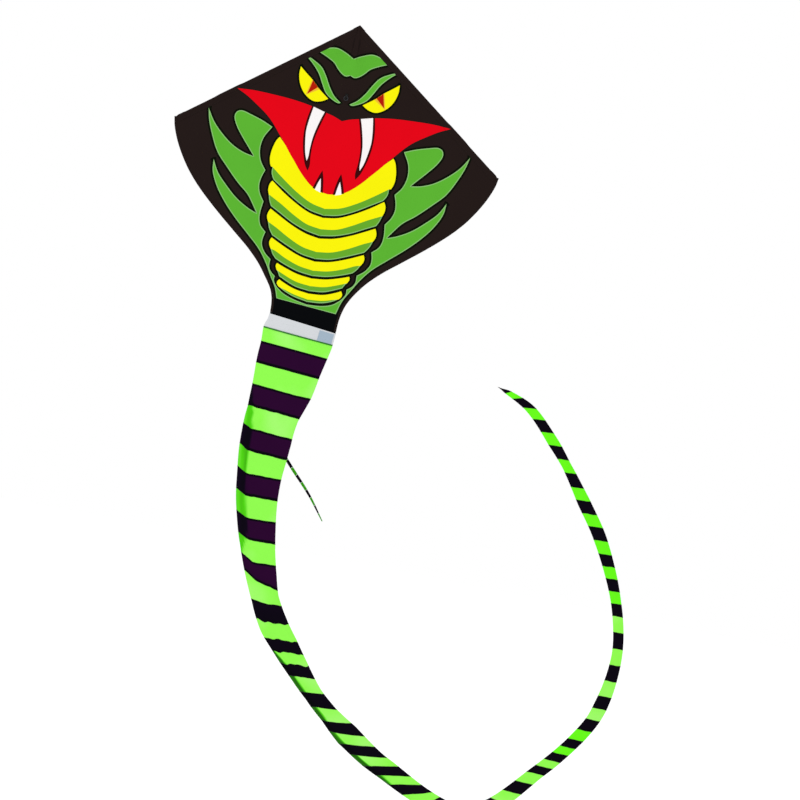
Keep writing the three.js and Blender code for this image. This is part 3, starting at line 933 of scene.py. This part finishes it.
def tail_point(distance, k, shrink, taper=1.0):
    """A point of the flattened tube, k steps round it."""
    angle = 2 * math.pi * k / AROUND
    share = math.cos(angle)
    lean = math.sin(angle)
    half = tail_at(distance)[2]
    moved = distance + seam_shift(distance, share * half, half)
    centre, way, half_there = tail_at(moved)
    half_there = max(half_there * taper - shrink, 0.4)
    ripple = 1 + 0.02 * noise.noise((moved * 0.012, 3.0 * (share > 0), 1.0)) * ramp(moved, 60, 200)
    flare = 5 * ramp(-share, 0.4, 1) * ramp(moved, 15, 45) * (1 - ramp(moved, 50, 110))
    across = centre + across_way(way) * (share * half_there * ripple - flare)
    thick = max(min(4.6, max(2.2, half_there * 0.13)) * taper - shrink * 0.8, 0.35)
    swell = abs(lean) ** 0.75 * (1 if lean > 0 else -1)
    depth = tail_depth(moved) + thick * swell
    calm = ramp(moved, 50, 160)
    depth += 1.5 * calm * noise.noise((across[0] * 0.02, across[1] * 0.02, 0.0))
    depth += 1.1 * calm * math.sin(moved / 23 + share * 2.2) * ramp(moved, 700, 1000)
    fold = fold_edge(moved, half_there)
    if fold > -0.98:
        depth += 2.2 * ramp(share, fold + 0.1, fold - 0.08) * (-1 if lean < 0 else 0.4)
    return (across[0], depth, TOW_DROP - across[1])


def tail_ring(distance, shrink=0.0, taper=1.0):
    return [tail_point(distance, k, shrink, taper) for k in range(AROUND)]


def across_way(way):
    """The way across the tail, to the viewer's right where it hangs down."""
    return np.array([way[1], -way[0]])


# Pieces of the tail: first and last stripe, the two bodies they join, and where the bend is
PIECES = [
    (0, 3, "frame", "tail_part_1", 23, 60),
    (3, 9, "tail_part_1", "tail_part_2", 425, 62),
    (9, 18, "tail_part_2", "tail_part_3", 934, 62),
    (18, 26, "tail_part_3", "tail_part_4", 1464, 56),
    (26, 42, "tail_part_4", "tail_part_5", 1980, 60),
    (42, STRIPES, "tail_part_5", "tail_part_6", 2859, 60),
]


def tail_world(distance):
    centre = tail_at(distance)[0]
    return (centre[0] * MM, tail_depth(distance) * MM, (TOW_DROP - centre[1]) * MM)


def bend(obj, piece):
    _, _, before, after, hinge, reach = piece
    tail_world(max(hinge - reach, 1))
    tail_world(hinge + reach)
    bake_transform(obj)


def stripe(pile, number, look):
    """One sewn ring of cloth, between two seams."""
    start, end = stripe_ends[number] + 0.12, stripe_ends[number + 1] - 0.12
    rows = max(3, round((end - start) / 10))
    stations = [start + (end - start) * row / rows for row in range(rows + 1)]
    stations = sorted(stations + [start + 4, start + 7.5, end - 10, end - 6])
    closing = number == STRIPES - 1
    outer, inner, shades = [], [], []
    for distance in stations:
        taper = 1 - 0.8 * ramp(distance, start, end) if closing else 1
        outer.append(tail_ring(distance, 0, taper))
        inner.append(tail_ring(distance, WALL, taper))
        for k in range(AROUND):
            lime = look == "lime"
            shades.append(painted_fold_shade(distance, k) if lime else plum_dark_and_painted_shade(distance, k, start, end))
    bright = look == "lime" and (number >= 52 or number in (40, 42))
    pile.ring_wall(outer, inner, int(bright), shades)


nodes_of = [
    ["tail_1"], ["tail_flex_1"], ["tail_2", "tail_flex_2"], ["tail_3", "tail_flex_3"],
    ["tail_4", "tail_flex_4"], ["tail_5", "tail_flex_5", "tail_6"],
]


def seam(pile, distance, radius):
    """The thread that shows round the tube where two rings of cloth are sewn together."""
    ring = tail_ring(distance)
    middle = np.mean(ring, axis=0)
    way = tail_at(distance)[1]
    outward = []
    for k in range(AROUND):
        step = np.subtract(ring[k], ring[k - 1]) + np.subtract(ring[(k + 1) % AROUND], ring[k])
        normal = np.cross(step, [way[0], 0, -way[1]])
        normal /= np.linalg.norm(normal) + 1e-9
        outward.append(-normal if normal @ np.subtract(ring[k], middle) < 0 else normal)
    pile.hoop(ring, outward, radius)


for index, piece in enumerate(PIECES):
    first, last = piece[:2]
    coloured = {"lime": Pile(), "plum": Pile()}
    seams = Pile()
    sizes, widths, areas = [dict.fromkeys(coloured, 0.0) for _ in range(3)]
    for number in range(first, last):
        start, end = stripe_ends[number], stripe_ends[number + 1]
        look = "lime" if number % 2 == 0 else "plum"
        stripe(coloured[look], number, look)
        sizes[look] += (end - start) * MM
        wide = 4 * tail_at((start + end) / 2)[2] * MM
        widths[look] = max(widths[look], wide)
        areas[look] += wide * (end - start) * MM
        if number > 0:
            seam(seams, start, 0.85)
    for look, materials in (("lime", [LIME, LIME_BRIGHT]), ("plum", [PLUM])):
        tube = coloured[look].object(f"tail_{look}_cloth_{index + 1}", materials, sharp=60)
        bend(tube, piece)
        if look == "lime":
            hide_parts(*nodes_of[index])
    lines = seams.object(f"tail_seams_{index + 1}", [THREAD], sharp=180)
    bend(lines, piece)

# Cuff: the plain band that joins the tail to the neck, with its patch
pile = Pile()
pile.ring_wall(*[[tail_ring(d, shrink) for d in (0.4, 8, 16, 24, 32, 40, 45.8)] for shrink in (0, WALL)])
cuff = pile.object("cuff_band", [CUFF], sharp=60)
bend(cuff, PIECES[0])
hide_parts("neck_cuff")

pile = Pile()
rings = []
for k in range(9):
    distance = 5 + 39.5 * k / 8
    ring = []
    half = tail_at(distance)[2]
    for lift, columns in ((0.15, range(9)), (0.75, range(8, -1, -1))):
        for column in columns:
            offset = 62 + 50 * column / 8
            centre, way, half = tail_at(distance + seam_shift(distance, offset, half))
            share = min(offset / half, 0.985)
            swell = (1 - share * share) ** 0.375
            across = centre + across_way(way) * share * half
            ring.append((across[0], SAIL_Y - 4.6 * swell - lift, TOW_DROP - across[1]))
    rings.append(ring)
pile.bar(rings)
patch = pile.object("cuff_patch_cloth", [PATCH], sharp=50)
bend(patch, PIECES[0])
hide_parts("cuff_patch")

pile = Pile()
faces_out = [np.array([0, -1 if k > AROUND / 2 else 1, 0]) for k in range(AROUND)]
pile.hoop(tail_ring(CUFF_LENGTH), faces_out, 2.7, sides=6)
cuff_seam = pile.object("cuff_seam", [GREEN_THREAD], sharp=180)
bend(cuff_seam, PIECES[0])

# Side streamer: a narrow ribbon sewn behind the tail
streamer_line = catmull(STREAMER_STATIONS, 40)
streamer_lengths = run(streamer_line[:, :2])
STREAMER_LENGTH = float(streamer_lengths[-1])
STREAMER_STRIPES = 10
RIBBON = ((-1, 0.3), (-0.3, 0.9), (0.4, 0.5), (1, 0.3), (1, -0.3), (0.4, -0.3), (-0.3, 0.1), (-1, -0.3))
coloured = {"plum": Pile(), "lime": Pile()}
for number in range(STREAMER_STRIPES):
    rings = []
    for row in range(6):
        distance = (number + 0.01 + row / 5 * 0.98) * STREAMER_LENGTH / STREAMER_STRIPES
        x, drop, width = along(streamer_line, streamer_lengths, distance)
        way = along(streamer_line, streamer_lengths, distance + 3)[:2]
        way -= along(streamer_line, streamer_lengths, distance - 3)[:2]
        way /= np.linalg.norm(way)
        depth = 31.5 + 1.6 * math.sin(distance / 17)
        ring = []
        for share, lift in RIBBON:
            turn = across_way(way) * share * (width / 2)
            ring.append((x + turn[0], depth + lift + share * 1.5, TOW_DROP - drop - turn[1]))
        rings.append(ring)
    coloured["plum" if number % 2 == 0 else "lime"].bar(rings)
for look, material in (("plum", PLUM), ("lime", LIME)):
    coloured[look].shades = [0.85] * len(coloured[look].points)
    ribbon = coloured[look].object(f"streamer_{look}_cloth", [material], sharp=60)
    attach(ribbon, "tail_part_2")
    if look == "plum":
        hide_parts("side_streamer")


# ---------------------------------------------------------------- frame fittings

def ring_of(x, centre, radius, sides=24):
    """A circle across the kite, round its (y, z) centre."""
    turns = np.linspace(0, 2 * math.pi, sides + 1)[:-1]
    return [(x, centre[0] + radius * math.cos(a), centre[1] + radius * math.sin(a)) for a in turns]


HUB_WALL = 1.5
HUB_STOPS = [11.3, 12.0, 14, 16, 18, 20, 22, 26, 30, 34, 37, 37.7]
HUB_BEND = (0.0115, 0.021)   # where a wing's sleeve starts and stops bending, in metres from the spine
HUB_RADII = [4.0] + [4.4] * 10 + [4.0]
cross = (CROSS_Y, TOW_DROP - CROSS_DROP)
for side, hand in HAND.items():
    pile = Pile()
    pile.ring_wall(*[[ring_of(side * x, cross, radius - wall) for x, radius in zip(HUB_STOPS, HUB_RADII)]
                     for wall in (0, HUB_WALL)])
    arm = pile.object(f"{hand}_hub_sleeve", [VINYL], sharp=50)
    start, end = [(side * x, CROSS_Y * MM, cross[1] * MM) for x in HUB_BEND]
    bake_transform(arm)
    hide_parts(f"{hand}_hub_arm")

# Materials of the fittings that keep their own shape
FITTINGS = {
    "spine_rod": FIBREGLASS, "neck_batten": FIBREGLASS, "nose_cap": VINYL, "spine_end_cap": VINYL,
    "centre_hub": VINYL, "batten_pocket": WEBBING, "tow_tab": WEBBING, "tow_ring": STEEL,
}
for hand in HAND.values():
    FITTINGS[f"{hand}_leading_rod"] = FIBREGLASS
    FITTINGS[f"{hand}_spreader_rod"] = FIBREGLASS
    for part in ("tip_cap", "edge_connector", "upper_stop_ring", "lower_stop_ring"):
        FITTINGS[f"{hand}_{part}"] = VINYL
for name, material in FITTINGS.items():
    for material_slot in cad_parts[name].material_slots:
        material_slot.material = material

# ---------------------------------------------------------------- floor, light and camera

FLOOR_RADIUS = 14
FLOOR_Z = -2.42
floor_mesh = bpy.data.meshes.new("floor")
turns = np.linspace(0, 2 * math.pi, 65)[:-1]
rim = [(FLOOR_RADIUS * math.cos(a) + 0.4, FLOOR_RADIUS * math.sin(a), FLOOR_Z) for a in turns]
floor_mesh.from_pydata(rim, [], [list(range(len(rim)))])
floor = linked("floor", floor_mesh)
material, bsdf, _ = shader("pale_floor")
fill(bsdf, {
    "Base Color": (0.9, 0.9, 0.9, 1), "Roughness": 0.95, "Specular IOR Level": 0.1,
    "Emission Color": (1, 1, 1, 1), "Emission Strength": 0.2,
})
floor_mesh.materials.append(material)

world = bpy.data.worlds.new("studio")
bpy.context.scene.world = world
world.use_nodes = True
fill(world.node_tree.nodes["Background"], {"Color": (1, 1, 1, 1), "Strength": 1.0})

key_data = bpy.data.lights.new("key_light", "AREA")
key_data.size = 5
key_data.energy = 120
key = linked("key_light", key_data)
key.location = (-3.5, -6.5, 3.5)
key.rotation_euler = (Vector((0.3, 0, -0.9)) - key.location).to_track_quat("-Z", "Y").to_euler()

camera_data = bpy.data.cameras.new("camera")
camera_data.lens = 120
camera_data.sensor_width = 36
camera_data.clip_end = 100
camera = linked("camera", camera_data)
right = Vector((0.982, 0, 0.189)).normalized()
up = Vector((-0.189, 0, 0.982)).normalized()
back = Vector((0, -1, 0))
aim = Vector((0.370, SAIL_Y * MM, -0.959)) - up * 0.0037
camera.matrix_world = Matrix((
    (right.x, up.x, back.x, aim.x),
    (right.y, up.y, back.y, aim.y - 8.99),
    (right.z, up.z, back.z, aim.z),
    (0, 0, 0, 1),
))
bpy.context.scene.camera = camera
bpy.context.scene.view_settings.view_transform = "Standard"
